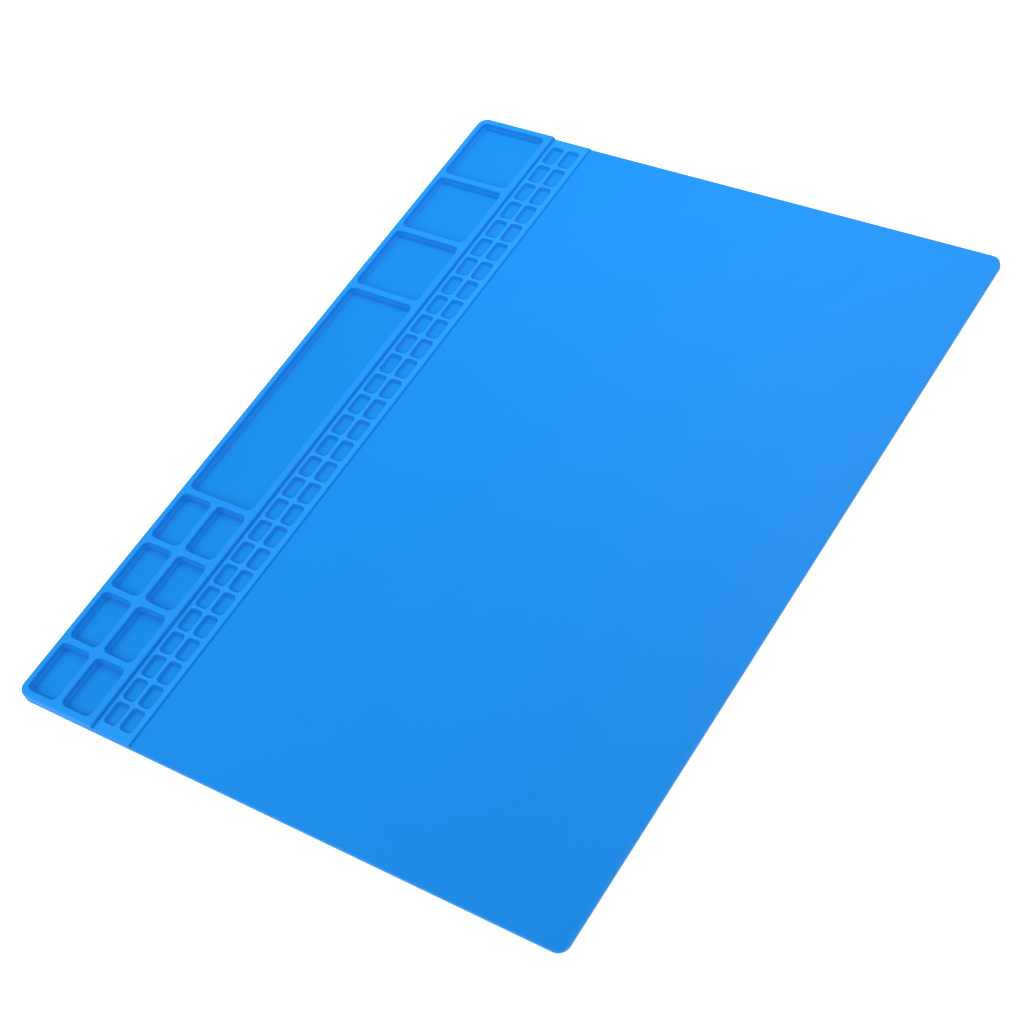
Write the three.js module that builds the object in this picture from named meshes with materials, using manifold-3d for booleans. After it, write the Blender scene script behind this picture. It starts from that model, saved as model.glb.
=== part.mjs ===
import * as THREE from "three";
import { mergeVertices } from "three/addons/utils/BufferGeometryUtils.js";
import Module from "manifold-3d";

// Frame: millimetres, origin at the middle of the underside
// x runs across the short side with the hollows at -x, y along the long side, z up

// Whole mat
const MAT_WIDTH = 305;
const MAT_LENGTH = 405;
const MAT_CORNER_RADIUS = 5.5;
const EDGE_ROUNDING = 0.7;

// Heights, each one counted from the surface below it
const FLOOR_THICKNESS = 2.0;
const WORK_RISE = 0.9;
const POCKET_STRIP_RISE = 0.8;
const TRAY_STRIP_RISE = 1.9;

// Trays, along the mat's long edge at -x
const OUTER_RIM = 3.1;
const INNER_RIM = 3.5;
const NEAR_RIM = 3.4;
const FAR_RIM = 3.2;
const TRAY_WALL = 3.15;
const TRAY_WIDTH = 40.2;
const TRAY_RADIUS = 3.2;
const TRAY_SLOPE = 1.4;
const SMALL_TRAY_LENGTH = 28.85;
const SMALL_TRAY_ROWS = 4;
const SQUARE_TRAY_LENGTHS = [40.1, 38.5, 40.0];

// Shallow pockets, in columns beside the trays
const POCKET_WIDTH = 7.8;
const POCKET_LENGTH = 12.7;
const POCKET_RADIUS = 2.1;
const POCKET_SLOPE = 1.1;
const POCKET_RIB = 1.43;
const POCKET_WALL = 1.8;
const POCKET_COLUMNS = 2;
const POCKET_END_MARGIN = 5.0;
const POCKET_TRAY_MARGIN = 1.85;
const POCKET_WORK_MARGIN = 2.85;

// Sloping steps at the inner side of each strip
const TRAY_STRIP_SLOPE = 0.6;
const POCKET_STRIP_SLOPE = 0.4;

// Segments in a quarter turn
const MAT_CORNER_SEGMENTS = 6;
const TRAY_CORNER_SEGMENTS = 4;
const POCKET_CORNER_SEGMENTS = 3;
const EDGE_SEGMENTS = 3;

// How far a cutting solid runs past the faces it has to clear
const CLEAR = 4;

const LEFT = -MAT_WIDTH / 2;
const NEAR = -MAT_LENGTH / 2;

const WORK_HEIGHT = FLOOR_THICKNESS + WORK_RISE;
const POCKET_STRIP_HEIGHT = WORK_HEIGHT + POCKET_STRIP_RISE;
const TRAY_STRIP_HEIGHT = POCKET_STRIP_HEIGHT + TRAY_STRIP_RISE;

const TRAY_STRIP_WIDTH = OUTER_RIM + TRAY_WIDTH + INNER_RIM;
const SMALL_TRAY_WIDTH = (TRAY_WIDTH - TRAY_WALL) / 2;
const SMALL_TRAY_PITCH = SMALL_TRAY_LENGTH + TRAY_WALL;
const SQUARE_TRAYS_LENGTH = SQUARE_TRAY_LENGTHS.reduce((sum, length) => sum + length + TRAY_WALL, 0);
const LONG_TRAY_LENGTH =
  MAT_LENGTH - NEAR_RIM - SMALL_TRAY_ROWS * SMALL_TRAY_PITCH - SQUARE_TRAYS_LENGTH - FAR_RIM;

const POCKET_ROW_PITCH = POCKET_LENGTH + POCKET_RIB;
const POCKET_COLUMN_PITCH = POCKET_WIDTH + POCKET_WALL;
const POCKET_ROWS = Math.floor(
  (MAT_LENGTH - 2 * POCKET_END_MARGIN + POCKET_RIB) / POCKET_ROW_PITCH,
);
const FIRST_POCKET = TRAY_STRIP_WIDTH + TRAY_STRIP_SLOPE + POCKET_TRAY_MARGIN + POCKET_WIDTH / 2;
const LAST_POCKET = FIRST_POCKET + (POCKET_COLUMNS - 1) * POCKET_COLUMN_PITCH;
const POCKET_STRIP_WIDTH = LAST_POCKET + POCKET_WIDTH / 2 + POCKET_WORK_MARGIN;

const wasm = await Module();
wasm.setup();

function toManifold(geometry) {
  const bare = geometry.clone();
  bare.deleteAttribute("normal");
  bare.deleteAttribute("uv");
  const merged = mergeVertices(bare, 1e-4);
  return new wasm.Manifold(
    new wasm.Mesh({
      numProp: 3,
      vertProperties: merged.attributes.position.array,
      triVerts: new Uint32Array(merged.index.array),
    }),
  );
}

function toGeometry(solid) {
  const mesh = solid.getMesh();
  const geometry = new THREE.BufferGeometry();
  geometry.setAttribute("position", new THREE.BufferAttribute(mesh.vertProperties, mesh.numProp));
  geometry.setIndex(new THREE.BufferAttribute(mesh.triVerts, 1));
  geometry.computeVertexNormals();
  return geometry;
}

function roundedRectangle(width, length, radius, segments) {
  const points = [];
  for (let corner = 0; corner < 4; corner += 1) {
    const start = (corner * Math.PI) / 2;
    const middle = start + Math.PI / 4;
    const cx = Math.sign(Math.cos(middle)) * (width / 2 - radius);
    const cy = Math.sign(Math.sin(middle)) * (length / 2 - radius);
    for (let step = 0; step <= segments; step += 1) {
      const angle = start + (step / segments) * (Math.PI / 2);
      points.push(new THREE.Vector2(cx + radius * Math.cos(angle), cy + radius * Math.sin(angle)));
    }
  }
  return new THREE.Shape(points);
}

// A slab of the mat's outline with its upper edge rounded, its lower end under the mat
function slab(height) {
  const outline = roundedRectangle(MAT_WIDTH, MAT_LENGTH, MAT_CORNER_RADIUS, MAT_CORNER_SEGMENTS);
  const geometry = new THREE.ExtrudeGeometry(outline, {
    depth: height - EDGE_ROUNDING + CLEAR,
    bevelThickness: EDGE_ROUNDING,
    bevelSize: EDGE_ROUNDING,
    bevelOffset: -EDGE_ROUNDING,
    bevelSegments: EDGE_SEGMENTS,
  });
  geometry.translate(0, 0, -CLEAR);
  return toManifold(geometry);
}

// The part of a slab above the underside and on the -x side of a sloping step
function strip(height, width, slope, foot) {
  const top = LEFT + width;
  const section = new THREE.Shape();
  section.moveTo(LEFT - CLEAR, 0);
  section.lineTo(top + slope, 0);
  section.lineTo(top + slope, foot);
  section.lineTo(top, height);
  section.lineTo(top, height + CLEAR);
  section.lineTo(LEFT - CLEAR, height + CLEAR);
  const geometry = new THREE.ExtrudeGeometry(section, {
    depth: MAT_LENGTH + 2 * CLEAR,
    bevelEnabled: false,
  });
  geometry.rotateX(Math.PI / 2);
  geometry.translate(0, MAT_LENGTH / 2 + CLEAR, 0);
  return slab(height).intersect(toManifold(geometry));
}

// The space of one hollow with sloping walls, its rim at the given height
function hollow(x, y, size, rim) {
  const outline = roundedRectangle(size.width, size.length, size.radius, size.segments);
  const geometry = new THREE.ExtrudeGeometry(outline, {
    depth: CLEAR,
    bevelThickness: rim - FLOOR_THICKNESS,
    bevelSize: size.slope,
    bevelOffset: -size.slope,
    bevelSegments: 1,
  });
  geometry.translate(x, y, rim);
  return toManifold(geometry);
}

function trayHollow(x, y, width, length) {
  const size = {
    width,
    length,
    radius: TRAY_RADIUS,
    slope: TRAY_SLOPE,
    segments: TRAY_CORNER_SEGMENTS,
  };
  return hollow(LEFT + x + width / 2, NEAR + y + length / 2, size, TRAY_STRIP_HEIGHT);
}

let body = strip(WORK_HEIGHT, MAT_WIDTH + CLEAR, 0, WORK_HEIGHT);
body = body.add(strip(POCKET_STRIP_HEIGHT, POCKET_STRIP_WIDTH, POCKET_STRIP_SLOPE, WORK_HEIGHT));
body = body.add(
  strip(TRAY_STRIP_HEIGHT, TRAY_STRIP_WIDTH, TRAY_STRIP_SLOPE, POCKET_STRIP_HEIGHT),
);

// Small trays in pairs, from the near end
let y = NEAR_RIM;
for (let row = 0; row < SMALL_TRAY_ROWS; row += 1) {
  for (const x of [OUTER_RIM, OUTER_RIM + SMALL_TRAY_WIDTH + TRAY_WALL]) {
    body = body.subtract(trayHollow(x, y, SMALL_TRAY_WIDTH, SMALL_TRAY_LENGTH));
  }
  y += SMALL_TRAY_PITCH;
}

// The long tray and then the square ones
for (const length of [LONG_TRAY_LENGTH, ...SQUARE_TRAY_LENGTHS]) {
  body = body.subtract(trayHollow(OUTER_RIM, y, TRAY_WIDTH, length));
  y += length + TRAY_WALL;
}

// Shallow pockets
const pocket = {
  width: POCKET_WIDTH,
  length: POCKET_LENGTH,
  radius: POCKET_RADIUS,
  slope: POCKET_SLOPE,
  segments: POCKET_CORNER_SEGMENTS,
};
for (let column = 0; column < POCKET_COLUMNS; column += 1) {
  const px = LEFT + FIRST_POCKET + column * POCKET_COLUMN_PITCH;
  for (let row = 0; row < POCKET_ROWS; row += 1) {
    const py = (row - (POCKET_ROWS - 1) / 2) * POCKET_ROW_PITCH;
    body = body.subtract(hollow(px, py, pocket, POCKET_STRIP_HEIGHT));
  }
}

const silicone = new THREE.MeshStandardMaterial({
  color: 0x2391f2,
  roughness: 0.55,
  metalness: 0,
});

const mat = new THREE.Mesh(toGeometry(body), silicone);
mat.name = "mat";

const group = new THREE.Group();
group.name = "silicone_repair_mat";
group.add(mat);

export default group;
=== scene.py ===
from math import atan2, cos, pi, radians, sin, tan

import bmesh
import bpy
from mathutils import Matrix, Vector


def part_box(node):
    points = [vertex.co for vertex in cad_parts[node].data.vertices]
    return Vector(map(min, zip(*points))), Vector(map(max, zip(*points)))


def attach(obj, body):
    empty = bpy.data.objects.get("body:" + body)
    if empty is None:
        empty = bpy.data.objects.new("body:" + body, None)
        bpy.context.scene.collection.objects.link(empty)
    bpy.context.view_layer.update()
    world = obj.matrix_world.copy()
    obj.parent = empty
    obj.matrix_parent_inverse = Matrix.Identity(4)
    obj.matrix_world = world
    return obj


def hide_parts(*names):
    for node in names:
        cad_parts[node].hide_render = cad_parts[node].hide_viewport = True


bl_info = {
    "name": "Silicone repair mat",
    "version": (1, 0, 0),
    "blender": (4, 5, 0),
    "location": "3D View > Sidebar > Repair mat",
    "description": "Moulds a silicone repair mat with trays and pockets, and lays its stage",
    "category": "Object",
}

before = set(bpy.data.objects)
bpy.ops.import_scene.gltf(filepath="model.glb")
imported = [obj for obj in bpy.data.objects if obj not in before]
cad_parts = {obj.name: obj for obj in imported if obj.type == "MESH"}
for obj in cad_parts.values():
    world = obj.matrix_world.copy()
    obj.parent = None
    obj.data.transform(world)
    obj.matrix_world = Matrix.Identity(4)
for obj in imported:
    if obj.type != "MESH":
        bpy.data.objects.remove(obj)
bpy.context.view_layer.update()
MAT_LOW, MAT_HIGH = (Vector(corner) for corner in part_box("mat"))

# Fine fitting allowance in metres, for picking points by their place
NEARLY = 1e-5

# Painted shade at the foot of the walls and painted highlight on each rounded lip, in metres from each
# one's place: starts, is full, starts to fade, ends
HOLLOW_PAINTED_SHADE = (0.00001, 0.00015, 0.0004, 0.0011)
TRAY_STEP_PAINTED_SHADE = (-0.0005, -0.0001, 0.0001, 0.0005)
POCKET_STEP_PAINTED_SHADE = (-0.0003, 0.0, 0.0003, 0.0008)
TRAY_LIP_HIGHLIGHT = (-0.0008, -0.0003, -0.00006, -0.00001)
POCKET_LIP_HIGHLIGHT = (-0.0005, -0.0002, -0.00001, 0.00003)

# How far in from the mat's outline the painted shade of the hollows starts, and where the painted
# highlight on the outer side's lip ends
OUTLINE = 0.0025
SIDE_LIP_HIGHLIGHT = 0.0009

# Width of a soft edge between two tones
SOFT = 0.0005

# How far each painted tone shows: the painted light on both raised bands, the painted highlight on each
# lip and the painted shade at the foot of the walls
POCKET_BAND_LIGHT_SHARE = 0.8
TRAY_BAND_LIGHT_SHARE = 0.2
LIP_HIGHLIGHT_SHARE = 0.7
PAINTED_SHADE_SHARE = 0.6

# Where the soft lights stand, and the side of each one's square
TOP_LIGHT = ((0.0, 0.38, 0.5), 0.4)
LEFT_LIGHT = ((-0.55, -0.3, 0.45), 0.4)
NEAR_LIGHT = ((0.1, -1.3, 0.9), 0.7)


def length(name, description, default, **more):
    """A size in metres that the sidebar shows as a length."""
    return bpy.props.FloatProperty(
        name=name,
        description=description,
        default=default,
        min=0.0,
        precision=5,
        subtype="DISTANCE",
        unit="LENGTH",
        **more,
    )


def colour(name, description, default):
    """A colour that the sidebar shows as a swatch."""
    return bpy.props.FloatVectorProperty(
        name=name,
        description=description,
        default=default,
        size=3,
        min=0.0,
        max=1.0,
        subtype="COLOR",
    )


class MatSizes(bpy.types.PropertyGroup):
    """Sizes of the moulded mat."""

    width: length("Width", "Short side of the mat", MAT_HIGH.x - MAT_LOW.x)
    length: length("Length", "Long side of the mat", MAT_HIGH.y - MAT_LOW.y)
    corner: length("Corner radius", "Radius of the mat's four corners", 0.0055)
    edge: length("Edge rounding", "Radius of the upper edge all round", 0.0007)
    foot: length("Foot rounding", "Radius of the lower edge all round", 0.0002)
    floor: length("Floor thickness", "Silicone left under every hollow", 0.0020)
    work: length("Work area height", "Height of the plain work area", 0.0029)
    pocket_band: length("Pocket band height", "Height of the band with the pockets", 0.0037)
    tray_band: length("Tray band height", "Height of the band with the trays", MAT_HIGH.z)
    tray_band_width: length("Tray band width", "Top of the tray band, from the outer edge", 0.0468)
    tray_step: length("Tray step run", "How far the tray band's inner wall slopes out", 0.0006)
    pocket_band_width: length("Pocket band width", "Top of the pocket band, from the outer edge", 0.0695)
    pocket_step: length("Pocket step run", "How far the pocket band's inner wall slopes out", 0.0004)


class TraySizes(bpy.types.PropertyGroup):
    """Sizes of the deep trays."""

    outer_rim: length("Outer rim", "Rim along the mat's long edge", 0.0031)
    near_rim: length("Near rim", "Rim at the end with the small trays", 0.0034)
    far_rim: length("Far rim", "Rim at the end with the square trays", 0.0032)
    wall: length("Wall", "Wall between two trays", 0.00315)
    width: length("Width", "Width of the long and the square trays", 0.0402)
    small_length: length("Small tray length", "Length of a small tray", 0.02885)
    small_rows: bpy.props.IntProperty(
        name="Small tray rows", description="Rows of paired small trays", default=4, min=1
    )
    square_lengths: bpy.props.FloatVectorProperty(
        name="Square tray lengths",
        description="Lengths of the square trays, the far one last",
        default=(0.0401, 0.0385, 0.0400),
        size=3,
        precision=5,
        unit="LENGTH",
    )
    corner: length("Corner radius", "Radius of a tray's corners at its rim", 0.0032)
    slope: length("Wall slope", "How far a tray's steep upper wall leans in", 0.0004)
    foot: length("Foot width", "How far the bevelled foot of the wall reaches in", 0.0011)
    foot_height: length("Foot height", "Height of the bevelled foot over the tray's floor", 0.0014)
    lip: length("Lip rounding", "Radius where the rim turns into the wall", 0.00035)
    bend: length("Bend rounding", "Radius where the steep wall meets its foot", 0.0004)
    cove: length("Floor rounding", "Radius where the foot runs out into the floor", 0.0028)


class PocketSizes(bpy.types.PropertyGroup):
    """Sizes of the shallow pockets."""

    width: length("Width", "Width of a pocket", 0.0078)
    length: length("Length", "Length of a pocket", 0.0127)
    rib: length("Rib", "Rib between two pockets of a column", 0.00143)
    wall: length("Wall", "Wall between the columns", 0.0018)
    columns: bpy.props.IntProperty(
        name="Columns", description="Columns of pockets", default=2, min=1
    )
    rows: bpy.props.IntProperty(
        name="Rows", description="Pockets in a column", default=28, min=1
    )
    margin: length("Margin", "From the foot of the tray band's wall to the first column", 0.00185)
    corner: length("Corner radius", "Radius of a pocket's corners at its rim", 0.0021)
    slope: length("Wall slope", "How far a pocket's steep upper wall leans in", 0.0003)
    foot: length("Foot width", "How far the bevelled foot of the wall reaches in", 0.0009)
    foot_height: length("Foot height", "Height of the bevelled foot over the pocket's floor", 0.0009)
    lip: length("Lip rounding", "Radius where the rim turns into the wall", 0.00025)
    bend: length("Bend rounding", "Radius where the steep wall meets its foot", 0.0003)
    cove: length("Floor rounding", "Radius where the foot runs out into the floor", 0.0020)


class SiliconeLooks(bpy.types.PropertyGroup):
    """Colours of the silicone, with painted shade and painted light."""

    # Painted shade: darker low in the hollows
    shaded: colour("Shaded silicone", "Colour where the mat is thin, in the hollows", (0.0055, 0.234, 0.700))
    body: colour("Silicone", "Colour of the work area", (0.0070, 0.242, 0.750))
    # Painted light: paler on the raised bands
    lit: colour("Lit silicone", "Colour where the mat is highest", (0.0120, 0.273, 0.800))
    # Painted shade, low in the hollows and at the foot of both steps
    crease_shade: colour("Creases", "Colour low in the hollows and the steps", (0.0015, 0.145, 0.570))
    # Painted highlight on the rounded lip of each hollow and on the outer side
    lip: colour("Lips", "Colour of the rounded lips round the hollows", (0.0200, 0.310, 0.860))
    floor: colour("Studio floor", "Colour of the floor under the mat", (0.98, 0.98, 0.98))


# Selecting and shaping


def start_fresh():
    """Leaves edit mode and deselects everything."""
    if bpy.context.object and bpy.context.object.mode != "OBJECT":
        bpy.ops.object.mode_set(mode="OBJECT")
    bpy.ops.object.select_all(action="DESELECT")


def pick(piece, kind, test):
    """In edit mode, selects only the vertices, edges or faces of the piece that pass the test."""
    bpy.ops.mesh.select_mode(type=kind)
    bpy.ops.mesh.select_all(action="DESELECT")
    mesh = bmesh.from_edit_mesh(piece.data)
    parts = {"VERT": mesh.verts, "EDGE": mesh.edges, "FACE": mesh.faces}[kind]
    found = [part for part in parts if test(part)]
    for part in found:
        part.select_set(True)
    mesh.select_flush_mode()
    bmesh.update_edit_mesh(piece.data)
    if not found:
        raise RuntimeError(f"nothing to pick on {piece.name}")


def rounded_plate(name, width, length, corner, segments, at=(0, 0, 0)):
    """A flat face with rounded corners, left in edit mode with the face selected."""
    start_fresh()
    bpy.ops.mesh.primitive_plane_add(size=1, location=(0, 0, 0))
    plate = bpy.context.object
    plate.name = name
    bpy.ops.object.mode_set(mode="EDIT")
    bpy.ops.mesh.select_all(action="SELECT")
    bpy.ops.transform.resize(value=(width, length, 1))
    bpy.ops.mesh.bevel(offset=corner, segments=segments, affect="VERTICES")
    bpy.ops.mesh.select_all(action="SELECT")
    bpy.ops.transform.translate(value=at)
    bpy.ops.mesh.select_mode(type="FACE")
    bpy.ops.mesh.select_all(action="SELECT")
    return plate


def section(corners, radii, steps):
    """A wall's section as (across, up) points: flat, down through rounded corners, and flat again."""
    legs = list(zip(corners, corners[1:]))
    leans = [0.0, *(atan2(start[1] - end[1], end[0] - start[0]) for start, end in legs), 0.0]
    points = []
    for (across, up), radius, before, after in zip(corners, radii, leans, leans[1:]):
        turn = radius if after > before else -radius
        back = turn * tan((after - before) / 2)
        across -= back * cos(before)
        up += back * sin(before)
        for k in range(steps + 1):
            lean = before + (after - before) * k / steps
            points.append(
                (across + turn * (sin(lean) - sin(before)), up + turn * (cos(lean) - cos(before)))
            )
    return points


def follow(profile, ledge):
    """Insets the selected face along a profile, from a flat ledge outside it to one inside it."""
    start, end = profile[0], profile[-1]
    points = [(start[0] - ledge, start[1]), *profile, (end[0] + ledge, end[1])]
    for before, after in zip(points, points[1:]):
        bpy.ops.mesh.inset(thickness=after[0] - before[0], depth=after[1] - before[1])


# The mat


def hollow(name, width, length, rim, floor, shape, ledge, segments):
    """One hollow of the mat, centred at the origin: an open shell from a ledge on its rim to its floor."""
    corners = (
        (0.0, 0.0),
        (shape.slope, floor + shape.foot_height - rim),
        (shape.slope + shape.foot, floor - rim),
    )
    profile = section(corners, (shape.lip, shape.bend, shape.cove), 5)
    out = ledge - profile[0][0]
    corner = shape.corner + out
    shell = rounded_plate(name, width + 2 * out, length + 2 * out, corner, segments, (0, 0, rim))
    follow(profile, ledge)
    bpy.ops.object.mode_set(mode="OBJECT")
    return shell


def copies_at(shell, places):
    """Puts the shell at the first place and a copy with its own mesh at each of the others."""
    made = []
    for x, y in places:
        start_fresh()
        shell.select_set(True)
        bpy.context.view_layer.objects.active = shell
        bpy.ops.object.duplicate(linked=False)
        copy = bpy.context.object
        bpy.ops.transform.translate(value=(x, y, 0))
        made.append(copy)
    bpy.data.objects.remove(shell)
    return made


def tray_shells(mat, trays):
    """Every tray as an open shell in its place."""
    left, near = -mat.width / 2, -mat.length / 2
    small_width = (trays.width - trays.wall) / 2
    pitch = trays.small_length + trays.wall
    squares = list(trays.square_lengths)
    long_tray = (
        mat.length
        - trays.near_rim
        - trays.small_rows * pitch
        - sum(squares)
        - len(squares) * trays.wall
        - trays.far_rim
    )

    def shell(name, width, length, places):
        made = hollow(name, width, length, mat.tray_band, mat.floor, trays, 0.0001, 8)
        return copies_at(made, places)

    shells = []
    first = left + trays.outer_rim + small_width / 2
    columns = (first, first + small_width + trays.wall)
    start = near + trays.near_rim
    rows = [start + row * pitch + trays.small_length / 2 for row in range(trays.small_rows)]
    shells += shell("small_tray", small_width, trays.small_length, [(x, y) for x in columns for y in rows])
    start += trays.small_rows * pitch
    middle = left + trays.outer_rim + trays.width / 2
    for tray_length in (long_tray, *squares):
        shells += shell("tray", trays.width, tray_length, [(middle, start + tray_length / 2)])
        start += tray_length + trays.wall
    return shells


def pocket_shells(mat, pockets):
    """Every pocket as an open shell in its place."""
    made = hollow("pocket", pockets.width, pockets.length, mat.pocket_band, mat.floor, pockets, 0.00006, 6)
    first = -mat.width / 2 + mat.tray_band_width + mat.tray_step + pockets.margin + pockets.width / 2
    places = [
        (
            first + column * (pockets.width + pockets.wall),
            (row - (pockets.rows - 1) / 2) * (pockets.length + pockets.rib),
        )
        for column in range(pockets.columns)
        for row in range(pockets.rows)
    ]
    return copies_at(made, places)


def slab(mat):
    """The closed body of the mat with its three levels, before the hollows."""
    body = rounded_plate("moulded_mat", mat.width, mat.length, mat.corner, 14)
    # Sides, then a rounded upper edge and a narrow flat ledge inside it
    bpy.ops.mesh.extrude_region_move(TRANSFORM_OT_translate={"value": (0, 0, mat.work - mat.edge)})
    for k in range(6):
        before, after = pi / 2 * k / 6, pi / 2 * (k + 1) / 6
        bpy.ops.mesh.inset(
            thickness=mat.edge * (cos(before) - cos(after)),
            depth=mat.edge * (sin(after) - sin(before)),
        )
    bpy.ops.mesh.inset(thickness=0.0002, depth=0)
    bpy.ops.mesh.select_all(action="SELECT")
    bpy.ops.mesh.normals_make_consistent(inside=False)
    # Lower edge, and a ledge inside it
    pick(body, "EDGE", lambda edge: all(v.co.z < NEARLY for v in edge.verts))
    bpy.ops.mesh.bevel(offset=mat.foot, segments=3, affect="EDGES")
    pick(body, "FACE", lambda face: face.normal.z < -0.999)
    bpy.ops.mesh.inset(thickness=0.0002, depth=0)
    # Levels: cut across at every point of both steps, and lift what is left of each cut
    left = -mat.width / 2
    high = mat.tray_band - mat.pocket_band
    low = mat.pocket_band - mat.work
    steps = (
        (left + mat.tray_band_width, high + low, low, mat.tray_step, (0.00035, 0.0003)),
        (left + mat.pocket_band_width, low, 0.0, mat.pocket_step, (0.0002, 0.00015)),
    )
    heights = {}
    for corner, high_side, low_side, run, radii in steps:
        profile = section(((corner, high_side), (corner + run, low_side)), radii, 4)
        ledge = 0.00012
        start = (profile[0][0] - ledge, high_side)
        end = (profile[-1][0] + ledge, low_side)
        for across, up in (start, *profile, end):
            heights[across] = up
    for x in heights:
        bpy.ops.mesh.select_all(action="SELECT")
        bpy.ops.mesh.bisect(plane_co=(x, 0, 0), plane_no=(1, 0, 0), threshold=1e-6)
    top = mat.work - mat.edge - NEARLY
    for x, lift in heights.items():
        if lift > NEARLY:
            pick(body, "VERT", lambda v, x=x: abs(v.co.x - x) < NEARLY / 10 and v.co.z > top)
            bpy.ops.transform.translate(value=(0, 0, lift))
    first = min(heights) - NEARLY / 10
    pick(body, "VERT", lambda v: v.co.x < first and v.co.z > top)
    bpy.ops.transform.translate(value=(0, 0, high + low))
    bpy.ops.object.mode_set(mode="OBJECT")
    return body


def close_band(body, height):
    """Replaces the one flat face of a band by a face with a hole for each hollow."""
    pick(
        body,
        "FACE",
        lambda face: face.calc_area() > 1e-3 and all(abs(v.co.z - height) < NEARLY for v in face.verts),
    )
    bpy.ops.mesh.delete(type="ONLY_FACE")
    pick(
        body,
        "EDGE",
        lambda edge: edge.is_boundary and all(abs(v.co.z - height) < NEARLY for v in edge.verts),
    )
    bpy.ops.mesh.fill(use_beauty=True)


class OBJECT_OT_mould_mat(bpy.types.Operator):
    """Moulds the mat in one piece: its three levels, its trays and its pockets"""

    bl_idname = "object.mould_mat"
    bl_label = "Mould the mat"

    def execute(self, context):
        mat, trays, pockets = context.scene.mat_sizes, context.scene.tray_sizes, context.scene.pocket_sizes
        body = slab(mat)
        shells = tray_shells(mat, trays) + pocket_shells(mat, pockets)
        start_fresh()
        for piece in (body, *shells):
            piece.select_set(True)
        context.view_layer.objects.active = body
        bpy.ops.object.join()
        bpy.ops.object.mode_set(mode="EDIT")
        for height in (mat.tray_band, mat.pocket_band):
            close_band(body, height)
        bpy.ops.mesh.select_all(action="SELECT")
        bpy.ops.mesh.remove_doubles(threshold=2e-6)
        bpy.ops.mesh.normals_make_consistent(inside=False)
        bpy.ops.object.mode_set(mode="OBJECT")
        bpy.ops.object.transform_apply(location=True, rotation=True, scale=True)
        bpy.ops.object.shade_smooth_by_angle(angle=radians(50))
        body.data.materials.clear()
        body.data.materials.append(silicone(context.scene.silicone_looks, mat))
        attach(body, "root")
        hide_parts("mat")
        return {"FINISHED"}


# Materials


class Socket:
    """A shader output that takes part in sums, each one a Math node."""

    def __init__(self, tree, output):
        self.tree = tree
        self.output = output

    def maths(self, operation, first, second):
        node = self.tree.node(
            "ShaderNodeMath", {"operation": operation}, {0: first, 1: second}
        )
        return Socket(self.tree, node.outputs[0])

    def __add__(self, other):
        return self.maths("ADD", self, other)

    def __sub__(self, other):
        return self.maths("SUBTRACT", self, other)

    def __rsub__(self, other):
        return self.maths("SUBTRACT", other, self)

    def __mul__(self, other):
        return self.maths("MULTIPLY", self, other)

    __radd__ = __add__
    __rmul__ = __mul__


class Shader:
    """A new material whose nodes are added one call each."""

    def __init__(self, name):
        self.material = bpy.data.materials.new(name)
        self.material.use_nodes = True
        self.tree = self.material.node_tree
        self.tree.nodes.clear()

    def node(self, kind, settings=None, sockets=None):
        made = self.tree.nodes.new(kind)
        for name, value in (settings or {}).items():
            setattr(made, name, value)
        for name, value in (sockets or {}).items():
            if isinstance(value, Socket):
                self.tree.links.new(value.output, made.inputs[name])
            else:
                made.inputs[name].default_value = value
        return made

    def value(self, kind, output, settings=None, sockets=None):
        return Socket(self, self.node(kind, settings, sockets).outputs[output])

    def mixed(self, factor, first, second):
        """One colour turning into another."""
        node = self.node("ShaderNodeMix", {"data_type": "RGBA", "clamp_factor": True})
        for index, entry in ((0, factor), (6, first), (7, second)):
            if isinstance(entry, Socket):
                self.tree.links.new(entry.output, node.inputs[index])
            else:
                node.inputs[index].default_value = (*entry[:3], 1)
        return Socket(self, node.outputs[2])

    def ramp(self, value, low, high):
        """0 below low, 1 above high and a soft turn between."""
        return self.value(
            "ShaderNodeMapRange",
            0,
            {"interpolation_type": "SMOOTHSTEP"},
            {"Value": value, "From Min": low, "From Max": high, "To Min": 0.0, "To Max": 1.0},
        )

    def stripe(self, value, place, tone):
        """1 where a tone is full, counted from a place, and turning softly to 0 at both its ends."""
        start, full, fade, end = (place + edge for edge in tone)
        return self.ramp(value, start, full) * (1.0 - self.ramp(value, fade, end))

    def noise(self, place, scale, detail=2.0, roughness=0.5):
        return self.value(
            "ShaderNodeTexNoise",
            0,
            None,
            {"Vector": place, "Scale": scale, "Detail": detail, "Roughness": roughness},
        )


def painted_crease_shade(shader, axes, mat):
    """Mask of the painted shade: 1 low in the hollows and at the foot of both steps, and 0 elsewhere."""
    across, along, height = axes
    tray_foot = mat.tray_band_width + mat.tray_step - mat.width / 2
    pocket_foot = mat.pocket_band_width + mat.pocket_step - mat.width / 2
    side = mat.width / 2 - OUTLINE
    end = mat.length / 2 - OUTLINE
    bands = (-side, SOFT - side, pocket_foot - 3 * SOFT, pocket_foot - 2 * SOFT)
    hollows = shader.stripe(across, 0.0, bands)
    hollows = hollows * shader.stripe(along, 0.0, (-end, SOFT - end, end - SOFT, end))
    return (
        shader.stripe(height, mat.floor, HOLLOW_PAINTED_SHADE) * hollows
        + shader.stripe(across, tray_foot, TRAY_STEP_PAINTED_SHADE)
        + shader.stripe(across, pocket_foot, POCKET_STEP_PAINTED_SHADE)
    )


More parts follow.
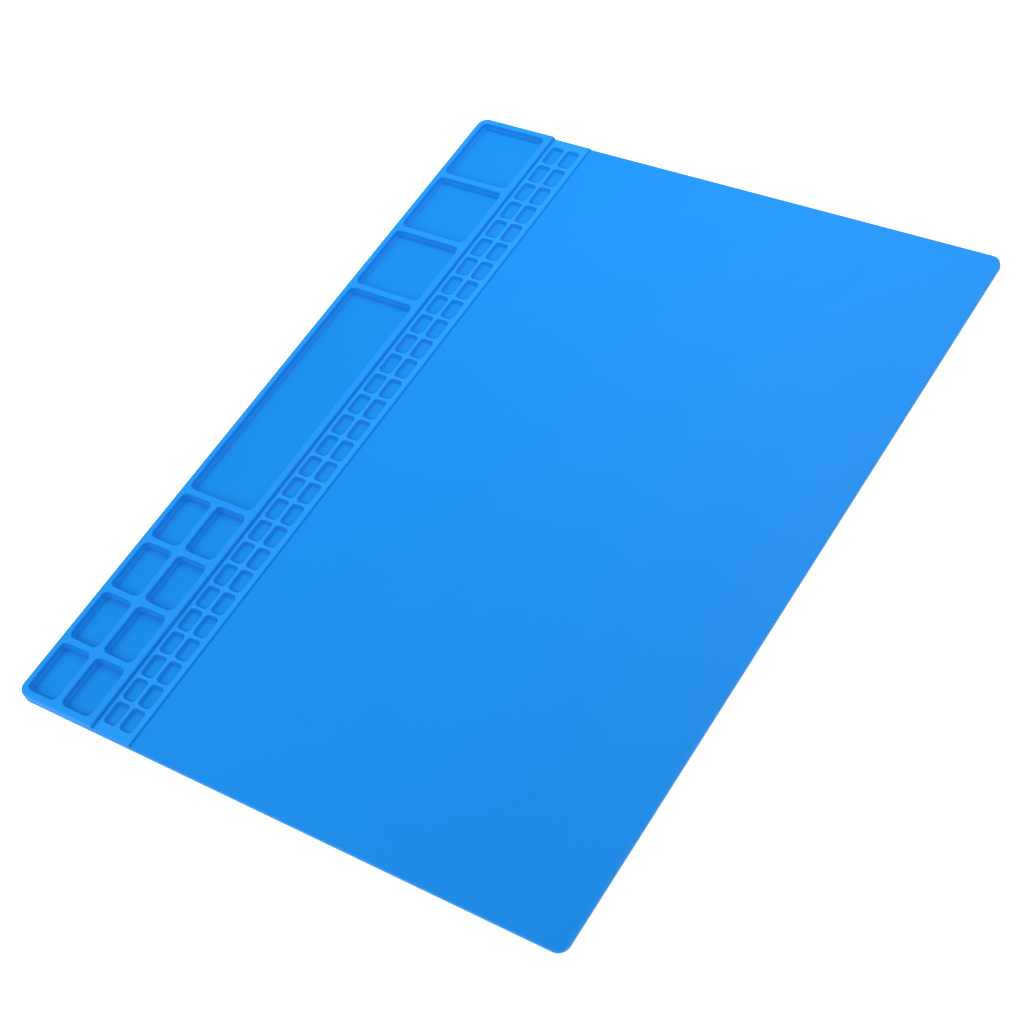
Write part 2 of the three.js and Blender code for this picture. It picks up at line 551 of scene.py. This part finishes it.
def painted_lip_highlights(shader, axes, mat):
    """Mask of the painted highlight: 1 on the rounded lip of each hollow and on the outer side of the work
    area, and 0 elsewhere.
    """
    across, _, height = axes
    tray_foot = mat.tray_band_width + mat.tray_step - mat.width / 2
    past_trays = shader.ramp(across, tray_foot - 4 * SOFT, tray_foot - 3 * SOFT)
    side = mat.width / 2 - SIDE_LIP_HIGHLIGHT
    return (
        shader.stripe(height, mat.tray_band, TRAY_LIP_HIGHLIGHT)
        + shader.stripe(height, mat.pocket_band, POCKET_LIP_HIGHLIGHT) * past_trays
        + shader.ramp(across, side, side + SOFT)
    )


def silicone(looks, mat):
    """Smooth moulded silicone: a satin blue, darker low in the hollows (painted shade) and a little paler
    on the raised bands (painted light), with painted shade at the foot of the walls and a painted
    highlight on each rounded lip.
    """
    shader = Shader("blue_silicone")
    place = shader.value("ShaderNodeTexCoord", "Object")
    axes = [shader.value("ShaderNodeSeparateXYZ", axis, None, {"Vector": place}) for axis in range(3)]
    height = axes[2]
    # Painted shade and painted light set by height: darker towards the floors of the hollows, paler on the
    # raised bands
    deep = shader.ramp(height, mat.floor, mat.work)
    pocket_rise = shader.ramp(height, mat.work, mat.pocket_band)
    tray_rise = shader.ramp(height, mat.pocket_band, mat.tray_band)
    cloud = shader.noise(place, 14.0, 3.0)
    blotch = shader.noise(place, 90.0, 2.0)
    grain = shader.noise(place, 2600.0, 2.0, 0.6)
    dimple = shader.noise(place, 420.0, 2.0)
    solid = shader.mixed(deep, looks.shaded, looks.body)
    thickness = pocket_rise * POCKET_BAND_LIGHT_SHARE + tray_rise * TRAY_BAND_LIGHT_SHARE
    solid = shader.mixed(thickness, solid, looks.lit)
    # Painted highlight on each rounded lip and on the outer side
    solid = shader.mixed(painted_lip_highlights(shader, axes, mat) * LIP_HIGHLIGHT_SHARE, solid, looks.lip)
    # Painted shade low in the hollows and at the foot of both steps
    solid = shader.mixed(painted_crease_shade(shader, axes, mat) * PAINTED_SHADE_SHARE, solid, looks.crease_shade)
    shade = [0.90 * channel for channel in looks.body]
    tone = (cloud - 0.5) * 0.5 + (blotch - 0.5) * 0.25
    base = shader.mixed(shader.ramp(tone, -0.1, 0.9), solid, shade)
    rough = 0.50 + (grain - 0.5) * 0.10 + (cloud - 0.5) * 0.06
    relief = grain * 0.7 + dimple * 0.3
    bump = shader.value(
        "ShaderNodeBump", 0, None, {"Strength": 0.25, "Distance": 0.00003, "Height": relief}
    )
    surface = shader.value(
        "ShaderNodeBsdfPrincipled",
        0,
        None,
        {
            "Base Color": base,
            "Roughness": rough,
            "Normal": bump,
            "IOR": 1.41,
            "Specular IOR Level": 0.12,
        },
    )
    shader.node("ShaderNodeOutputMaterial", None, {"Surface": surface})
    return shader.material


# The stage


def studio_floor(looks, glow):
    """A pale floor with a faint unevenness, lit a little from below as a light table is."""
    shader = Shader("studio_floor")
    place = shader.value("ShaderNodeTexCoord", "Object")
    cloud = shader.noise(place, 3.0)
    pale = [0.985 * channel for channel in looks.floor]
    base = shader.mixed(cloud, looks.floor, pale)
    surface = shader.value(
        "ShaderNodeBsdfPrincipled",
        0,
        None,
        {
            "Base Color": base,
            "Roughness": 0.9,
            "Specular IOR Level": 0.1,
            "Emission Color": (1, 1, 1, 1),
            "Emission Strength": glow,
        },
    )
    shader.node("ShaderNodeOutputMaterial", None, {"Surface": surface})
    return shader.material


class StageSizes(bpy.types.PropertyGroup):
    """The floor, the lights and the camera."""

    floor_side: length("Floor side", "Side of the square floor", 12.0)
    camera_place: bpy.props.FloatVectorProperty(
        name="Camera place",
        description="Where the camera stands",
        default=(0.52560, -0.46935, 0.79252),
        size=3,
        precision=5,
        subtype="TRANSLATION",
        unit="LENGTH",
    )
    camera_turn: bpy.props.FloatVectorProperty(
        name="Camera turn",
        description="How the camera is turned",
        default=(radians(38.969), radians(13.465), radians(32.867)),
        size=3,
        subtype="EULER",
        unit="ROTATION",
    )
    lens: bpy.props.FloatProperty(
        name="Lens", description="Focal length on a 36 mm wide sensor", default=79.19, unit="CAMERA"
    )
    sky: bpy.props.FloatProperty(
        name="Sky", description="Brightness of the white surroundings", default=0.48, min=0.0
    )
    floor_glow: bpy.props.FloatProperty(
        name="Floor glow", description="Brightness of the floor's own light", default=0.36, min=0.0
    )
    top_light: bpy.props.FloatProperty(
        name="Top light",
        description="Power of the soft light over the far end",
        default=2.45,
        min=0.0,
        unit="POWER",
    )
    left_light: bpy.props.FloatProperty(
        name="Left light",
        description="Power of the soft light at the trays' side",
        default=1.25,
        min=0.0,
        unit="POWER",
    )
    near_light: bpy.props.FloatProperty(
        name="Near light",
        description="Power of the soft light at the near end",
        default=7.7,
        min=0.0,
        unit="POWER",
    )


def soft_light(name, place, side, power):
    """A square soft light that faces the middle of the mat."""
    start_fresh()
    bpy.ops.object.light_add(type="AREA", location=place)
    light = bpy.context.object
    light.name = name
    light.data.shape = "SQUARE"
    light.data.size = side
    light.data.energy = power
    light.rotation_euler = (-light.location).to_track_quat("-Z", "Y").to_euler()


class OBJECT_OT_lay_stage(bpy.types.Operator):
    """Lays the pale floor and sets the soft studio light and the camera"""

    bl_idname = "object.lay_stage"
    bl_label = "Lay the stage"

    def execute(self, context):
        sizes = context.scene.stage_sizes
        start_fresh()
        bpy.ops.mesh.primitive_plane_add(size=sizes.floor_side, location=(0, 0, 0))
        floor = context.object
        floor.name = "floor"
        floor.data.materials.append(studio_floor(context.scene.silicone_looks, sizes.floor_glow))

        world = bpy.data.worlds.new("white_surroundings")
        world.use_nodes = True
        world.node_tree.nodes["Background"].inputs["Color"].default_value = (1, 1, 1, 1)
        world.node_tree.nodes["Background"].inputs["Strength"].default_value = sizes.sky
        context.scene.world = world

        soft_light("top_light", *TOP_LIGHT, sizes.top_light)
        soft_light("left_light", *LEFT_LIGHT, sizes.left_light)
        soft_light("near_light", *NEAR_LIGHT, sizes.near_light)

        bpy.ops.object.camera_add(location=sizes.camera_place, rotation=sizes.camera_turn)
        camera = context.object
        camera.name = "camera"
        camera.data.sensor_width = 36
        camera.data.lens = sizes.lens
        camera.data.clip_start = 0.01
        context.scene.camera = camera
        context.scene.view_settings.view_transform = "Standard"
        return {"FINISHED"}


class VIEW3D_PT_repair_mat(bpy.types.Panel):
    """The mat's sizes and colours, and the buttons that make it"""

    bl_idname = "VIEW3D_PT_repair_mat"
    bl_label = "Repair mat"
    bl_space_type = "VIEW_3D"
    bl_region_type = "UI"
    bl_category = "Repair mat"

    def draw(self, context):
        for title, group, operator in (
            ("Mat", context.scene.mat_sizes, "object.mould_mat"),
            ("Trays", context.scene.tray_sizes, None),
            ("Pockets", context.scene.pocket_sizes, None),
            ("Silicone", context.scene.silicone_looks, None),
            ("Stage", context.scene.stage_sizes, "object.lay_stage"),
        ):
            box = self.layout.box()
            box.label(text=title)
            for name in group.__annotations__:
                box.prop(group, name)
            if operator:
                box.operator(operator)


GROUPS = {
    "mat_sizes": MatSizes,
    "tray_sizes": TraySizes,
    "pocket_sizes": PocketSizes,
    "silicone_looks": SiliconeLooks,
    "stage_sizes": StageSizes,
}
CLASSES = (*GROUPS.values(), OBJECT_OT_mould_mat, OBJECT_OT_lay_stage, VIEW3D_PT_repair_mat)


def register():
    for made in CLASSES:
        bpy.utils.register_class(made)
    for name, group in GROUPS.items():
        setattr(bpy.types.Scene, name, bpy.props.PointerProperty(type=group))


def unregister():
    for name in GROUPS:
        delattr(bpy.types.Scene, name)
    for made in reversed(CLASSES):
        bpy.utils.unregister_class(made)


def main():
    register()
    bpy.ops.object.lay_stage()
    bpy.ops.object.mould_mat()


if __name__ == "__main__":
    main()
